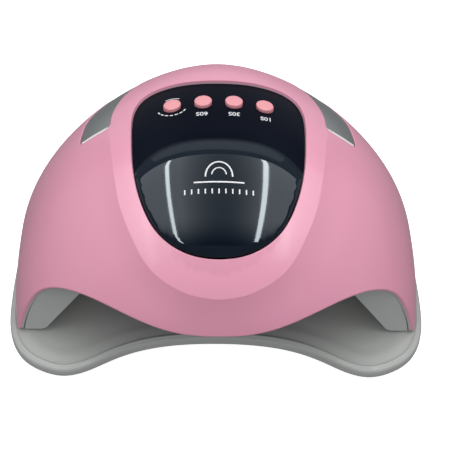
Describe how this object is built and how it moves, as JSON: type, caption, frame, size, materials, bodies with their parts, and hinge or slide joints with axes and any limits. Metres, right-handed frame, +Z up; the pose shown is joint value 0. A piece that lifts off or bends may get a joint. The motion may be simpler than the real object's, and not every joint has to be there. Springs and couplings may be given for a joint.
{
  "type": "uv led nail lamp",
  "caption": "Domed nail curing lamp: glossy shell with a brow over a hand tunnel, dark control panel with round push buttons, and a loose base plate.",
  "frame": {"origin": "centre of the whole object's box, on the surface it stands on", "axes": "+X to the right seen from the hand side, -Y towards the hand side, +Z up"},
  "size_m": [0.2302, 0.2068, 0.1071],
  "materials": {
    "shell_pink": "gloss",
    "panel_black": "gloss",
    "insert_silver": "satin",
    "liner_grey": "satin",
    "base_grey": "satin",
    "button_pink": "gloss",
    "foot_rubber": "matte",
    "magnet_steel": "satin",
    "board_aluminium": "satin",
    "led_lens": "gloss",
    "screw_steel": "satin",
    "board_green": "satin",
    "switch_black": "matte",
    "plunger_white": "matte",
    "display_black": "gloss",
    "chip_black": "matte",
    "capacitor_can": "satin",
    "inductor_ferrite": "matte",
    "sensor_dark": "gloss",
    "jack_black": "matte",
    "contact_metal": "polished",
    "lead_black": "matte",
    "lead_red": "matte"
  },
  "bodies": {
    "base": {"base_plate": "base_grey", "rubber_feet": "foot_rubber", "base_magnets": "magnet_steel"},
    "lamp": {"outer_shell": "shell_pink", "panel_cover": "panel_black", "side_insert_left": "insert_silver", "side_insert_right": "insert_silver", "liner": "liner_grey", "lamp_discs": "magnet_steel", "led_board_roof": "board_aluminium", "led_board_left": "board_aluminium", "led_board_right": "board_aluminium", "led_board_rear": "board_aluminium", "led_beads_roof": "led_lens", "led_beads_left": "led_lens", "led_beads_right": "led_lens", "led_beads_rear": "led_lens", "led_board_screws": "screw_steel", "shell_screws": "screw_steel", "board_screws": "screw_steel", "main_board": "board_green", "tact_switches": "switch_black", "timer_display": "display_black", "control_chip": "chip_black", "capacitors": "capacitor_can", "inductor": "inductor_ferrite", "motion_sensor": "sensor_dark", "dc_jack": "jack_black", "dc_jack_pin": "contact_metal", "dc_lead": "lead_black", "roof_lead": "lead_red", "left_lead": "lead_red", "right_lead": "lead_red", "rear_lead": "lead_red"},
    "button_60s": {"button_cap_60s": "button_pink", "switch_plunger_60s": "plunger_white"},
    "button_30s": {"button_cap_30s": "button_pink", "switch_plunger_30s": "plunger_white"},
    "button_10s": {"button_cap_10s": "button_pink", "switch_plunger_10s": "plunger_white"},
    "button_low_heat": {"button_cap_low_heat": "button_pink", "switch_plunger_low_heat": "plunger_white"}
  },
  "joints": [
    {"name": "lamp_lift", "type": "slide", "parent": "base", "child": "lamp", "axis": [0, 0, 1], "range_m": [0, 0.06]},
    {"name": "press_60s", "type": "slide", "parent": "lamp", "child": "button_60s", "axis": [0, 0, -1], "range_m": [0, 0.0008], "stiffness_N_per_m": 400, "springref_m": -0.001},
    {"name": "press_30s", "type": "slide", "parent": "lamp", "child": "button_30s", "axis": [0, 0, -1], "range_m": [0, 0.0008], "stiffness_N_per_m": 400, "springref_m": -0.001},
    {"name": "press_10s", "type": "slide", "parent": "lamp", "child": "button_10s", "axis": [0, 0, -1], "range_m": [0, 0.0008], "stiffness_N_per_m": 400, "springref_m": -0.001},
    {"name": "press_low_heat", "type": "slide", "parent": "lamp", "child": "button_low_heat", "axis": [0, 0, -1], "range_m": [0, 0.0008], "stiffness_N_per_m": 400, "springref_m": -0.001}
  ]
}
